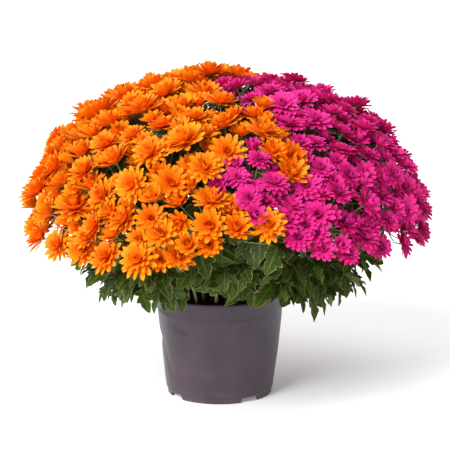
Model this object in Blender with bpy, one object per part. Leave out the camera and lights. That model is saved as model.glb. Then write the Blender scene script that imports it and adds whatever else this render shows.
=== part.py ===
# Pot chrysanthemum: a thin nursery pot on four feet, potting soil, leafy flowering stems that stand in
# holes in the soil, a spray of orange or magenta blooms on each of them, and low leafy side shoots.
# Metres, +Z up. The front faces -Y. An azimuth is measured from the front, positive towards +X.

import math

import bmesh
import bpy
import numpy as np
from mathutils import Matrix, Vector
from mathutils.bvhtree import BVHTree

SEED = 19
GAP = 0.0003

# The pot: a 19 cm nursery pot, standing a little left of the middle of the mound.
POT_X = -0.0125
POT_SEGMENTS = 30
POT_HEIGHT = 0.154
RIM_RADIUS = 0.095
BAND_HEIGHT = 0.024
BAND_STEP = 0.0011
WALL_TOP_RADIUS = RIM_RADIUS - BAND_STEP - 0.0009
WALL_FOOT_RADIUS = 0.0796
WALL_THICKNESS = 0.0016
FOOT_HEIGHT = 0.0088
FOOT_RADIUS = 0.0775
FOOT_THICKNESS = 0.0034
NOTCH_AZIMUTHS = (-55, 35, 125, 215)
NOTCH_WIDTH = 0.027
NOTCH_HEIGHT = 0.0066
DRAIN_RADIUS = 0.006
DRAIN_RING = 0.052
# Dents in the soft wall: azimuth, height, half width in degrees, half height, depth inwards. The one with a
# depth below zero is a low bulge.
DENTS = ((-88, 0.084, 18, 0.012, 0.0022), (-36, 0.116, 14, 0.014, 0.0034), (34, 0.075, 14, 0.050, 0.0020),
         (88, 0.085, 30, 0.060, -0.0015), (150, 0.075, 30, 0.040, 0.0032))
# The wall's rings, as shares of its height: two of them run through the middles of the small dents.
WALL_RINGS = (0, 0.32, 0.635, 0.905, 1)

# The soil fills the pot to a little below its rim.
SOIL_LEVEL = 0.134
SOIL_MOUND = 0.004
HOLE_DEPTH = 0.026
HOLE_CLEARANCE = 0.0012
SOIL_SEGMENTS = 20
# Rings of the soil's side, from its foot up: height, and how far it stays clear of the dented wall.
SOIL_SIDE = ((FOOT_HEIGHT + 0.0036, 0.0034), (0.060, 0.0070), (0.112, 0.0058), (0.126, 0.0030))
SOIL_EDGE_GAP = 0.0006
SOIL_CROWN = 0.050

# The mound of blooms: half an ellipsoid. The blooms are seated on it.
MOUND_Z = 0.268
SEAT_RADIUS = 0.281
SEAT_HEIGHT = 0.199
# Latitude of the lowest blooms. The mound opens at the front, where this rises by FRONT_RISE.
LOWEST_LATITUDE = -3
FRONT_RISE = 15
FRONT_AZIMUTH = 8
FRONT_WIDTH = 16

# Stems of the mound, low, middle and high: azimuth, latitude, colour and number of blooms of each.
STEMS = (
    (-5, 12, "orange", 6), (-27, 9, "orange", 7), (-50, 7, "orange", 7), (-78, 5, "orange", 7),
    (-108, 7, "orange", 7), (-139, 8, "orange", 7), (-169, 8, "orange", 7), (33, 10, "magenta", 9),
    (60, 6, "magenta", 9), (89, 6, "magenta", 9), (121, 8, "magenta", 9), (156, 8, "magenta", 9),
    (7, 24, "magenta", 5), (37, 33, "magenta", 9), (79, 33, "magenta", 9), (122, 34, "magenta", 9),
    (163, 38, "magenta", 9), (-22, 33, "orange", 7), (-63, 33, "orange", 7), (-104, 35, "orange", 7),
    (-150, 36, "orange", 7), (8, 42, "orange", 6), (66, 56, "magenta", 9), (36, 68, "magenta", 9),
    (-42, 59, "orange", 7), (-140, 72, "orange", 7),
)
STEM_RADIUS = 0.0026
STEM_SIDES = 3
SHOOT_AZIMUTHS = (18, -24, -82, 78, 136, -140)
SHOOT_FOOT = 0.074
SHOOT_HANDLE = 0.079
SHOOT_HANDLE_RISE = 0.085
SHOOT_REACH = 0.165
SHOOT_END_Z = 0.188
# A stem's end leans square to the mound, and by STEM_LEAN times that away from the pot's middle.
STEM_LEAN = 1.4
HANDLE = 0.12
# Feet stand in a ring, further in for the higher stems, and move round it by these swings to stay clear.
FOOT_RING = 0.062
FOOT_RING_STEP = 0.00062
FOOT_SWINGS = (0, 7, -7, 14, -14, 21, -21, 28, -28)
ROUTE_STEPS = 8
CLEARANCE_SHARE = 1.6

# Blooms by colour: petals of the outer and the inner layer, and the tip radius. The lift of the outer tips,
# and the radius and lift of the inner ones, are shares of that radius.
BLOOMS = {
    "orange": {"outer": 7, "inner": 3, "radius": 0.0280,
               "tip_lift": 0.46, "inner_radius": 0.56, "inner_lift": 0.86},
    "magenta": {"outer": 7, "inner": 3, "radius": 0.0240,
                "tip_lift": 0.24, "inner_radius": 0.50, "inner_lift": 0.66},
}
# More shares of that radius: every other tip is a little higher, and the notches between the tips lie in
# and up by their own share and half of the tips' lift.
TIP_STAGGER = 0.05
NOTCH_SHARE = 0.76
NOTCH_LIFT = 0.14
INNER_NOTCH_SHARE = 0.36
INNER_NOTCH_LIFT = 0.30
MIDDLE_LIFT = 0.42
MIDDLE_PULL = 0.3
# Where blooms sit: they start within SPREAD of their stem's place, turned on by the golden angle, and in
# each step they push away from those within their elbow room and pull back a little towards the stem.
SPREAD = 0.045
GOLDEN_TURN = 2.39996
TURN_RANGE = 0.3
FIRST_BLOOM = 1.08
OTHER_BLOOMS = (0.86, 1.04)
ELBOW_ROOM = 1.10
SETTLE_STEPS = 300
PUSH = 0.22
PULL = 0.012
BLOOM_GAP = 0.0009
LARGEST_BLOOM = 1.22
SPRAY_DEPTH = 0.060
PEDUNCLE_TOP = 0.020
PEDUNCLE_RADIUS = 0.0030
PEDICEL_RADIUS = 0.0010
CALYX_RADIUS = 0.0024
# Shares of the peduncle where the first pedicel leaves it, and over which the others follow.
FIRST_PEDICEL = 0.16
PEDICEL_RUN = 0.80
BLOOM_LEAN = 0.5

# Leaves: folded, lobed blades in whorls of three, one on each side of a stem. Half an outline goes from the
# root to the tip, as shares of the length: how far along, and how far out from the midrib.
LEAF_LENGTH = 0.062
LEAF_THICKNESS = 0.0016
LEAF_MIDDLE = 0.50
LEAF_ARCH = 0.03
LEAF_DROOP = 0.20
LEAF_FOLD = 0.26
LEAF_GAP = 0.0007
LEAF_SIZES = (0.88, 1.08)
LEAF_FORWARD = 0.35
# Tries for a leaf's place: its swing round the stem in degrees, and how far it droops.
LEAF_TRIES = ((0, 0.25), (14, 0.3), (-14, 0.3), (28, 0.2), (-28, 0.2),
              (0, 0.75), (20, 0.6), (-20, 0.6), (40, 0.05), (-40, 0.05))
TRY_SHRINK = 0.025
LEAST_SPREAD = 0.45
FIVE_LOBES = ((0.36, 0.27), (0.50, 0.12), (0.66, 0.33), (0.77, 0.13))
THREE_LOBES = ((0.46, 0.34), (0.66, 0.15))
WHORL_BAND = 0.0028
WHORL_TWIST = 60
# Where the whorls sit along each kind of stem, and their leaves' outline and size.
WHORLS = {
    "shoot": {"shares": (0.50, 0.74, 0.97), "outline": FIVE_LOBES, "size": 1.0},
    "low": {"shares": (0.60, 0.79, 0.96), "outline": FIVE_LOBES, "size": 1.0},
    "high": {"shares": (0.80, 0.965), "outline": THREE_LOBES, "size": 1.22},
}
LOW_LATITUDE = 25

COLOURS = {
    "pot": ((0.075, 0.058, 0.075), 0.42),
    "soil": ((0.020, 0.013, 0.009), 0.95),
    "foliage": ((0.055, 0.135, 0.030), 0.6),
    "orange": ((0.90, 0.21, 0.005), 0.55),
    "magenta": ((0.62, 0.012, 0.16), 0.55),
}


def clear_scene():
    for old in list(bpy.data.objects):
        bpy.data.objects.remove(old)


def material(name):
    colour, roughness = COLOURS[name]
    made = bpy.data.materials.get(name) or bpy.data.materials.new(name)
    made.use_nodes = True
    surface = made.node_tree.nodes["Principled BSDF"]
    surface.inputs["Base Color"].default_value = (*colour, 1.0)
    surface.inputs["Roughness"].default_value = roughness
    surface.inputs["Metallic"].default_value = 0.0
    return made


def outward(azimuth):
    """The level unit vector at an azimuth in degrees."""
    turn = math.radians(azimuth)
    return Vector((math.sin(turn), -math.cos(turn), 0.0))


def object_from(name, points, faces, colour, smooth=False):
    mesh = bpy.data.meshes.new(name)
    mesh.from_pydata([tuple(p) for p in points], [], faces)
    shape = bmesh.new()
    shape.from_mesh(mesh)
    bmesh.ops.triangulate(shape, faces=shape.faces)
    bmesh.ops.recalc_face_normals(shape, faces=shape.faces)
    shape.to_mesh(mesh)
    shape.free()
    mesh.materials.append(material(colour))
    if smooth:
        mesh.shade_smooth()
        mesh.set_sharp_from_angle(angle=math.radians(35))
    made = bpy.data.objects.new(name, mesh)
    bpy.context.scene.collection.objects.link(made)
    return made


def apply_boolean(target, others, operation):
    """Joins or cuts the target with a collection of objects in one Boolean, and removes them."""
    tools = bpy.data.collections.new(target.name + "_tools")
    bpy.context.scene.collection.children.link(tools)
    for other in others:
        bpy.context.scene.collection.objects.unlink(other)
        tools.objects.link(other)
    modifier = target.modifiers.new("join", "BOOLEAN")
    modifier.operation = operation
    modifier.operand_type = "COLLECTION"
    modifier.collection = tools
    modifier.solver = "EXACT"
    graph = bpy.context.evaluated_depsgraph_get()
    mesh = bpy.data.meshes.new_from_object(target.evaluated_get(graph), depsgraph=graph)
    target.modifiers.clear()
    target.data = mesh
    for other in others:
        bpy.data.objects.remove(other)
    bpy.data.collections.remove(tools)


def dent_depth(azimuth, height):
    """How far the pot's soft wall is pushed in at a place."""
    depth = 0.0
    for at, middle, half_width, half_height, deep in DENTS:
        turn = (azimuth - at + 180) % 360 - 180
        away = (turn / half_width) ** 2 + ((height - middle) / half_height) ** 2
        depth += deep * math.exp(-1.6 * away)
    return depth


def wall_radius(height):
    """The outer radius of the pot's wall below the band."""
    share = (height - FOOT_HEIGHT) / (POT_HEIGHT - BAND_HEIGHT - FOOT_HEIGHT)
    return WALL_FOOT_RADIUS + share * (WALL_TOP_RADIUS - WALL_FOOT_RADIUS)


def pot_profile():
    """The turned outline, from the middle of the underside, up the outside and down the inside."""
    band_foot = POT_HEIGHT - BAND_HEIGHT
    floor = FOOT_HEIGHT + 0.0004
    run = band_foot - FOOT_HEIGHT - 0.0036
    heights = [FOOT_HEIGHT + 0.0006 + share * run for share in WALL_RINGS]
    outside = [(wall_radius(z), z) for z in heights]
    inside = [(r - WALL_THICKNESS, z + 0.0006) for r, z in outside[:0:-1]]
    return (
        [(0, floor), (FOOT_RADIUS - FOOT_THICKNESS, floor), (FOOT_RADIUS - FOOT_THICKNESS, 0),
         (FOOT_RADIUS, 0), (FOOT_RADIUS + 0.0006, FOOT_HEIGHT - 0.0008)]
        + outside
        + [(RIM_RADIUS - 0.0010, band_foot), (RIM_RADIUS, POT_HEIGHT - 0.0012),
           (RIM_RADIUS - 0.0008, POT_HEIGHT), (RIM_RADIUS - 0.0026, POT_HEIGHT - 0.0006),
           (RIM_RADIUS - 0.0034, band_foot + 0.0006)]
        + inside
        + [(WALL_FOOT_RADIUS - WALL_THICKNESS - 0.0014, floor + 0.0026), (0, floor + 0.0018)]
    )


def make_pot():
    """The pot is spun from its profile, dented by formula, and cut for its notches and drain holes."""
    shape = bmesh.new()
    line = [shape.verts.new((r, 0, z)) for r, z in pot_profile()]
    edges = [shape.edges.new(pair) for pair in zip(line, line[1:])]
    bmesh.ops.spin(shape, geom=line + edges, cent=(0, 0, 0), axis=(0, 0, 1), dvec=(0, 0, 0),
                   angle=2 * math.pi, steps=POT_SEGMENTS, use_merge=True, use_duplicate=False)
    bmesh.ops.remove_doubles(shape, verts=shape.verts, dist=1e-5)
    for point in shape.verts:
        radius = math.hypot(point.co.x, point.co.y)
        if radius > 1e-4 and FOOT_HEIGHT < point.co.z < POT_HEIGHT - BAND_HEIGHT:
            azimuth = math.degrees(math.atan2(point.co.x, -point.co.y))
            push = dent_depth(azimuth, point.co.z) / radius
            point.co.x -= point.co.x * push
            point.co.y -= point.co.y * push
    bmesh.ops.recalc_face_normals(shape, faces=shape.faces)
    mesh = bpy.data.meshes.new("pot")
    shape.to_mesh(mesh)
    shape.free()
    mesh.materials.append(material("pot"))
    pot = bpy.data.objects.new("pot", mesh)
    bpy.context.scene.collection.objects.link(pot)
    apply_boolean(pot, notch_cutters(), "DIFFERENCE")
    pot.data.shade_smooth()
    pot.data.set_sharp_from_angle(angle=math.radians(30))
    pot.data.transform(Matrix.Translation((POT_X, 0, 0)))
    return pot


def notch_cutters():
    """A block through the foot ring at each notch, and a drain hole through the floor behind it."""
    cutters = []
    for azimuth in NOTCH_AZIMUTHS:
        out = outward(azimuth)
        side = Vector((-out.y, out.x, 0))
        corners = []
        for z, half in ((-0.002, NOTCH_WIDTH / 2), (NOTCH_HEIGHT, NOTCH_WIDTH / 2 - 0.004)):
            for along in (FOOT_RADIUS - 2.2 * FOOT_THICKNESS, FOOT_RADIUS + 0.006):
                for across in (-half, half):
                    corners.append(out * along + side * across + Vector((0, 0, z)))
        faces = [(0, 1, 3, 2), (4, 5, 7, 6), (0, 1, 5, 4), (2, 3, 7, 6), (0, 2, 6, 4), (1, 3, 7, 5)]
        cutters.append(object_from("notch", corners, faces, "pot"))
        middle = out * DRAIN_RING
        drain = tube([middle + Vector((0, 0, z)) for z in (0.004, 0.018)], [DRAIN_RADIUS] * 2, 6)
        cutters.append(object_from("drain", *drain, "pot"))
    return cutters


def tube(points, radii, sides):
    """Points and faces of a closed tube with flat ends."""
    across = (points[-1] - points[0]).orthogonal()
    rings = []
    for i, point in enumerate(points):
        along = (points[min(i + 1, len(points) - 1)] - points[max(i - 1, 0)]).normalized()
        rings += ring_of(point, along, across, radii[i], sides)
    faces = [tuple(range(sides)), tuple(range(len(rings) - sides, len(rings)))]
    for i in range(len(points) - 1):
        for k in range(sides):
            low, after = i * sides + k, i * sides + (k + 1) % sides
            faces.append((low, after, after + sides, low + sides))
    return rings, faces


def seat(azimuth, latitude):
    """A place on the mound, from its azimuth and latitude in degrees."""
    rise = math.radians(latitude)
    level = outward(azimuth) * (SEAT_RADIUS * math.cos(rise))
    return level + Vector((0, 0, MOUND_Z + SEAT_HEIGHT * math.sin(rise)))


def mound_normal(point):
    flat = Vector((point.x, point.y, 0)) / SEAT_RADIUS ** 2
    return (flat + Vector((0, 0, (point.z - MOUND_Z) / SEAT_HEIGHT ** 2))).normalized()


def on_mound(points):
    """Points pulled on to the ellipsoid that the blooms are seated on."""
    scale = np.array([SEAT_RADIUS, SEAT_RADIUS, SEAT_HEIGHT])
    middle = np.array([0, 0, MOUND_Z])
    unit = (points - middle) / scale
    unit /= np.linalg.norm(unit, axis=1)[:, None]
    return unit * scale + middle


def lowest_latitude(azimuth):
    """The latitude of the lowest blooms at an azimuth."""
    return LOWEST_LATITUDE + FRONT_RISE * math.exp(-((azimuth - FRONT_AZIMUTH) / FRONT_WIDTH) ** 2)


def lay_out_blooms():
    """Every bloom's seat, radius and stem. They start round their stems and push each other apart."""
    draw = np.random.default_rng(SEED)
    places, radii, owners = [], [], []
    for number, (azimuth, latitude, colour, count) in enumerate(STEMS):
        middle = np.array(seat(azimuth, latitude))
        for k in range(count):
            away = SPREAD * math.sqrt((k + 0.2) / count)
            turn = k * GOLDEN_TURN + draw.uniform(-TURN_RANGE, TURN_RANGE)
            side = np.array(outward(azimuth + 90))
            up = np.cross(side, np.array(mound_normal(Vector(middle))))
            places.append(middle + away * (math.cos(turn) * side + math.sin(turn) * up))
            radii.append(BLOOMS[colour]["radius"] * (FIRST_BLOOM if k == 0 else draw.uniform(*OTHER_BLOOMS)))
            owners.append(number)
    places, radii, owners = on_mound(np.array(places)), np.array(radii), np.array(owners)
    homes = np.array([seat(azimuth, latitude) for azimuth, latitude, _, _ in STEMS])[owners]
    reach = (radii[:, None] + radii[None, :]) * ELBOW_ROOM
    for step in range(SETTLE_STEPS):
        apart = places[:, None] - places[None, :]
        distance = np.linalg.norm(apart, axis=2) + np.eye(len(places))
        press = np.clip(reach - distance, 0, None) / distance
        np.fill_diagonal(press, 0)
        places = places + PUSH * (apart * press[:, :, None]).sum(axis=1) + PULL * (homes - places)
        places = on_mound(places)
        for i, place in enumerate(places):
            azimuth = math.degrees(math.atan2(place[0], -place[1]))
            floor = MOUND_Z + SEAT_HEIGHT * math.sin(math.radians(lowest_latitude(azimuth)))
            places[i][2] = max(place[2], floor)
        places = on_mound(places)
    return places, grown_radii(places, radii), owners


def grown_radii(places, radii):
    """Radii let out, or taken in, until each bloom all but touches its nearest neighbour."""
    distance = np.linalg.norm(places[:, None] - places[None, :], axis=2)
    np.fill_diagonal(distance, 1.0)
    share = radii[:, None] / (radii[:, None] + radii[None, :])
    room = (distance * share).min(axis=1) - BLOOM_GAP
    return np.minimum(room, radii * LARGEST_BLOOM)


def bloom(place, axis, turn, radius, kind, root):
    """Points and faces of one bloom: outer petals, inner petals, a dimpled middle and its pedicel."""
    across = axis.orthogonal().normalized()
    along = axis.cross(across)

    def at(degrees, share, lift):
        angle = math.radians(degrees) + turn
        flat = across * math.cos(angle) + along * math.sin(angle)
        return place + flat * (share * radius) + axis * (lift * radius)

    outer, inner = kind["outer"], kind["inner"]
    step = 360 / outer
    hollows = [i * inner // outer for i in range(outer)]
    bases = [hollows.index(k) for k in range(inner)]
    spans = [hollows.count(k) for k in range(inner)]
    half_lift = kind["tip_lift"] / 2
    tips = [at((i + 0.5) * step, 1.0, kind["tip_lift"] + TIP_STAGGER * (i % 2)) for i in range(outer)]
    notches = [at(i * step, NOTCH_SHARE, NOTCH_LIFT + half_lift) for i in range(outer)]
    inner_tips = [at(b * step, kind["inner_radius"], kind["inner_lift"]) for b in bases]
    inner_notches = [at((b + n / 2) * step, INNER_NOTCH_SHARE, INNER_NOTCH_LIFT + half_lift)
                     for b, n in zip(bases, spans)]
    calyx = ring_of(place, axis, across * math.cos(turn) + along * math.sin(turn), CALYX_RADIUS, 3)
    foot = [root + (c - place) * (PEDICEL_RADIUS / CALYX_RADIUS) for c in calyx]
    points = tips + notches + inner_tips + inner_notches + calyx + foot
    points.append(at(0, 0, MIDDLE_LIFT + MIDDLE_PULL * kind["tip_lift"]))
    tip, notch, inner_tip = 0, outer, 2 * outer
    inner_notch = inner_tip + inner
    ring = inner_notch + inner
    middle = ring + 6
    faces = []
    below = []
    for i in range(outer):
        after = (i + 1) % outer
        hollow = inner_notch + hollows[i]
        faces += [(notch + i, tip + i, hollow), (tip + i, notch + after, hollow)]
        below += [(notch + i, i * step), (tip + i, (i + 0.5) * step)]
    for i in range(inner):
        after, before = inner_notch + i, inner_notch + (i - 1) % inner
        base = notch + bases[i]
        faces += [(base, after, inner_tip + i), (base, inner_tip + i, before)]
        faces += [(inner_tip + i, after, middle), (inner_tip + i, middle, before)]
    for k, (first, degrees) in enumerate(below):
        second, next_degrees = below[(k + 1) % len(below)]
        corner = round(degrees / 120) % 3
        next_corner = round((next_degrees if next_degrees else 360) / 120) % 3
        faces.append((first, second, ring + corner))
        if next_corner != corner:
            faces.append((second, ring + next_corner, ring + corner))
    for k in range(3):
        after = (k + 1) % 3
        faces.append((ring + k, ring + after, ring + 3 + after, ring + 3 + k))
    faces.append((ring + 3, ring + 4, ring + 5))
    return points, faces


def stem_line(azimuth, latitude, swing):
    """A flowering stem's route from its hole in the soil to the foot of its spray, which it leans towards."""
    top = seat(azimuth, latitude)
    middle = Vector((POT_X, 0, 0))
    outwards = (top - middle - Vector((0, 0, SOIL_LEVEL))).normalized()
    lean = (mound_normal(top) + outwards * STEM_LEAN).normalized()
    foot = middle + outward(azimuth + swing) * (FOOT_RING - FOOT_RING_STEP * latitude)
    foot.z = SOIL_LEVEL - HOLE_DEPTH
    end = top - lean * SPRAY_DEPTH
    return foot, end - lean * HANDLE, end, lean


def shoot_line(azimuth):
    """A low side shoot's route: up inside the rim and out over it."""
    middle = Vector((POT_X, 0, 0))
    foot = middle + outward(azimuth) * SHOOT_FOOT + Vector((0, 0, SOIL_LEVEL - HOLE_DEPTH))
    rise = middle + outward(azimuth) * SHOOT_HANDLE + Vector((0, 0, SOIL_LEVEL + SHOOT_HANDLE_RISE))
    end = middle + outward(azimuth) * SHOOT_REACH + Vector((0, 0, SHOOT_END_Z))
    return foot, rise, end, None


def lay_out_stems():
    """Every stem's name, route and kind. A foot moves round the pot until its stem is clear of the others."""
    stems, fat = [], []
    routes = [(f"shoot_{n + 1:02d}", "shoot", a, None) for n, a in enumerate(SHOOT_AZIMUTHS)]
    for n, (azimuth, latitude, colour, _) in enumerate(STEMS):
        kind = "low" if latitude < LOW_LATITUDE else "high"
        routes.append((f"stem_{colour}_{n + 1:02d}", kind, azimuth, latitude))
    for name, kind, azimuth, latitude in routes:
        for swing in FOOT_SWINGS:
            line = shoot_line(azimuth) if latitude is None else stem_line(azimuth, latitude, swing)
            marks = [bend(*line[:3], i / ROUTE_STEPS) for i in range(ROUTE_STEPS + 1)]
            made = tree_of(*tube(marks, [STEM_RADIUS * CLEARANCE_SHARE] * len(marks), STEM_SIDES))
            if not any(made.overlap(other) for other in fat):
                break
        fat.append(made)
        stems.append((name, line, WHORLS[kind]))
    return stems


def bend(foot, rise, end, share):
    """A point on the quadratic curve with those three handles."""
    return foot * (1 - share) ** 2 + rise * (2 * share * (1 - share)) + end * share ** 2


def stem_rings(line, whorls):
    """The rings of a three-sided stem: one at each bend, and two close together at each whorl of leaves."""
    steps = [bend(*line[:3], i / ROUTE_STEPS) for i in range(ROUTE_STEPS + 1)]
    length = sum((after - before).length for before, after in zip(steps, steps[1:]))
    half = WHORL_BAND / 2 / length
    marks = [(0.0, 0), (0.24, 0)]
    for k, share in enumerate(whorls):
        marks += [(share - half, k), (share + half, k)]
    marks.append((1.0, len(whorls) - 1))
    foot, rise, end = line[:3]
    across = (rise - foot).cross(end - foot).normalized()
    rings = []
    for share, turns in marks:
        along = (bend(*line[:3], min(share + 0.02, 1)) - bend(*line[:3], max(share - 0.02, 0))).normalized()
        if line[3] and share == 1.0:
            along = line[3]
        radius = STEM_RADIUS * (1 - 0.2 * share)
        rings.append(ring_of(bend(*line[:3], share), along, across, radius, STEM_SIDES, turns * WHORL_TWIST))
    return rings


def ring_of(middle, along, across, radius, sides, degrees=0):
    """Points round a stem, square to its run. The first is on the side that another direction gives."""
    first = (across - along * across.dot(along)).normalized()
    second = along.cross(first)
    turns = [math.radians(degrees) + 2 * math.pi * k / sides for k in range(sides)]
    return [middle + (first * math.cos(t) + second * math.sin(t)) * radius for t in turns]


def stem_mesh(rings, leaves):
    """Points and faces of a stem. A side between two rings that has a leaf grows into it."""
    points = [p for ring in rings for p in ring]
    faces = [tuple(range(STEM_SIDES)), tuple(range(len(points) - STEM_SIDES, len(points)))]
    for i in range(len(rings) - 1):
        for k in range(STEM_SIDES):
            low, after = i * STEM_SIDES + k, i * STEM_SIDES + (k + 1) % STEM_SIDES
            corners = (low, after, after + STEM_SIDES, low + STEM_SIDES)
            if (i, k) in leaves:
                blade = leaves[i, k]
                faces += leaf_faces(corners, len(points), len(blade))
                points += blade
            else:
                faces.append(corners)
    return points, faces


def leaf_faces(corners, first, count):
    """Faces of a leaf between the four corners of its root and its blade's points, edge and midrib."""
    low_right, low_left, high_left, high_right = corners
    edge = list(range(first, first + count - 2))
    above, below = first + count - 2, first + count - 1
    over = [high_right] + edge + [high_left]
    under = [low_right] + edge + [low_left]
    faces = [(a, b, above) for a, b in zip(over, over[1:] + over[:1])]
    faces += [(b, a, below) for a, b in zip(under, under[1:] + under[:1])]
    return faces + [(high_right, low_right, edge[0]), (low_left, high_left, edge[-1])]


def leaf(root, along, normal, length, outline):
    """The points of a lobed leaf with a folded, drooping blade: its edge, then above and below its middle."""
    side = along.cross(normal).normalized()
    normal = side.cross(along).normalized()

    def at(share, across, lift=0.0):
        droop = LEAF_DROOP * share ** 2 + LEAF_FOLD * abs(across)
        return root + (along * share + side * across + normal * (lift - droop)) * length

    edge = [at(a, b) for a, b in outline] + [at(1, 0)] + [at(a, -b) for a, b in outline[::-1]]
    thick = LEAF_THICKNESS / 2 / length
    return edge + [at(LEAF_MIDDLE, 0, LEAF_ARCH + thick), at(LEAF_MIDDLE, 0, LEAF_ARCH - thick)]


def leaf_tree(corners, blade, shift):
    """A search tree of a whole leaf, moved a little."""
    points = [p + shift for p in list(corners) + blade]
    return tree_of(points, leaf_faces((0, 1, 2, 3), 4, len(blade)))


def blade_tree(blade, shift):
    """The same without the leaf's stalk, which touches its own stem."""
    count = len(blade) - 2
    return tree_of([p + shift for p in blade], [(i, i + 1, count) for i in range(count - 1)])


def grow_leaves(rings, line, kind, taken, draw):
    """The leaves of a stem's whorls that are clear of everything in the list of trees."""
    leaves, own = {}, []
    outline = kind["outline"]
    bare = tree_of(*stem_mesh(rings, {}))
    for number in range(len(kind["shares"])):
        i = 2 + 2 * number
        run = (sum(rings[i + 1], Vector()) - sum(rings[i], Vector())).normalized()
        for k in range(STEM_SIDES):
            after = (k + 1) % STEM_SIDES
            corners = rings[i][k], rings[i][after], rings[i + 1][after], rings[i + 1][k]
            root = sum(corners, Vector()) / 4
            outwards = root - sum(rings[i] + rings[i + 1], Vector()) / (2 * STEM_SIDES)
            outwards = outwards.normalized()
            size = LEAF_LENGTH * kind["size"] * draw.uniform(*LEAF_SIZES)
            for attempt, (degrees, drop) in enumerate(LEAF_TRIES):
                swing = Matrix.Rotation(math.radians(degrees), 3, run)
                along = swing @ (outwards + run * LEAF_FORWARD) - Vector((0, 0, drop))
                along = along.normalized()
                if along.dot(outwards) < LEAST_SPREAD:
                    continue
                length = size * (1 - TRY_SHRINK * attempt)
                blade = leaf(root, along, run, length, outline)
                shifts = [Vector((0, 0, z)) for z in (-LEAF_GAP, LEAF_GAP)]
                whole = [leaf_tree(corners, blade, shift) for shift in shifts]
                crossed = any(shell.overlap(tree) for shell in whole for tree in taken + own)
                if not crossed and not any(blade_tree(blade, shift).overlap(bare) for shift in shifts):
                    leaves[i, k] = blade
                    own.append(leaf_tree(corners, blade, Vector()))
                    break
    return leaves, own


def tree_of(points, faces):
    return BVHTree.FromPolygons([tuple(p) for p in points], faces)


def tree_of_object(made):
    return tree_of([v.co for v in made.data.vertices], [tuple(p.vertices) for p in made.data.polygons])


def make_soil(feet):
    """The soil follows the pot's inside, has a low uneven mound on top, and a plain hole for each stem."""
    rings = [(z, wall_radius(z) - WALL_THICKNESS - clear) for z, clear in SOIL_SIDE]
    rings.append((SOIL_LEVEL, WALL_TOP_RADIUS - WALL_THICKNESS - SOIL_EDGE_GAP))
    rings.append((SOIL_LEVEL + SOIL_MOUND, SOIL_CROWN))
    points = []
    for z, radius in rings:
        for k in range(SOIL_SEGMENTS):
            turn = 2 * math.pi * k / SOIL_SEGMENTS
            points.append(Vector((POT_X + radius * math.cos(turn), radius * math.sin(turn), z)))
    faces = []
    for i in range(len(rings) - 1):
        for k in range(SOIL_SEGMENTS):
            low, after = i * SOIL_SEGMENTS + k, i * SOIL_SEGMENTS + (k + 1) % SOIL_SEGMENTS
            faces.append((low, after, after + SOIL_SEGMENTS, low + SOIL_SEGMENTS))
    faces.append(tuple(range(SOIL_SEGMENTS)))
    faces.append(tuple(range(len(points) - SOIL_SEGMENTS, len(points))))
    soil = object_from("soil", points, faces, "soil")
    holes = []
    for low, high in feet:
        middles = [sum(ring, Vector()) / STEM_SIDES for ring in (low, high)]
        run = middles[1] - middles[0]
        widen = 1 + HOLE_CLEARANCE / STEM_RADIUS
        wide = [m + (p - m) * widen for m, ring in zip(middles, (low, high)) for p in ring]
        wide[:STEM_SIDES] = [p - run.normalized() * 0.001 for p in wide[:STEM_SIDES]]
        faces = [(0, 1, 2), (3, 4, 5), (0, 1, 4, 3), (1, 2, 5, 4), (2, 0, 3, 5)]
        holes.append(object_from("hole", wide, faces, "soil"))
    apply_boolean(soil, holes, "DIFFERENCE")
    return soil


def make_spray(name, colour, places, radii, line, draw):
    """A spray: the peduncle, and its blooms on pedicels that leave the peduncle at rising points."""
    end, lean = line[2:]
    kind = BLOOMS[colour]
    base = end + lean * GAP
    top = end + lean * (SPRAY_DEPTH - PEDUNCLE_TOP)
    spray = object_from(name, *tube([base, top], [STEM_RADIUS, PEDUNCLE_RADIUS], STEM_SIDES), colour)
    order = np.argsort([-(Vector(p) - top).cross(lean).length for p in places])
    parts = []
    for k, i in enumerate(order):
        place = Vector(places[i])
        root = base + (top - base) * (FIRST_PEDICEL + PEDICEL_RUN * k / len(order))
        axis = (mound_normal(place) + (place - root).normalized() * BLOOM_LEAN).normalized()
        turn = draw.uniform(0, 2 * math.pi)
        shape = bloom(place, axis, turn, radii[i], kind, root)
        parts.append(object_from("bloom", *shape, colour))
    apply_boolean(spray, parts, "UNION")
    return spray


def stand_at_origin():
    """Moves everything, so that the origin is in the middle of the whole box's underside."""
    made = list(bpy.data.objects)
    points = np.array([point.co for piece in made for point in piece.data.vertices])
    middle = (points.min(axis=0) + points.max(axis=0)) / 2
    for piece in made:
        piece.data.transform(Matrix.Translation((-middle[0], -middle[1], 0)))


def main():
    clear_scene()
    draw = np.random.default_rng(SEED + 1)
    places, radii, owners = lay_out_blooms()
    stems = lay_out_stems()
    lines = [line for _, line, _ in stems[len(SHOOT_AZIMUTHS):]]
    solids = [make_pot()]
    for number, (_, _, colour, _) in enumerate(STEMS):
        mine = owners == number
        name = f"spray_{colour}_{number + 1:02d}"
        solids.append(make_spray(name, colour, places[mine], radii[mine], lines[number], draw))
    rings = [stem_rings(line, kind["shares"]) for _, line, kind in stems]
    solids.append(make_soil([stem[:2] for stem in rings]))
    taken = [tree_of_object(made) for made in solids]
    bare = [tree_of(*stem_mesh(stem, {})) for stem in rings]
    leaves = []
    for number, (name, line, kind) in enumerate(stems):
        others = taken + leaves + bare[:number] + bare[number + 1:]
        grown, trees = grow_leaves(rings[number], line, kind, others, draw)
        leaves += trees
        object_from(name, *stem_mesh(rings[number], grown), "foliage")
    stand_at_origin()


main()
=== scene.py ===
import math

import bpy
import numpy as np
from mathutils import Matrix, Vector, noise


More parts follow.
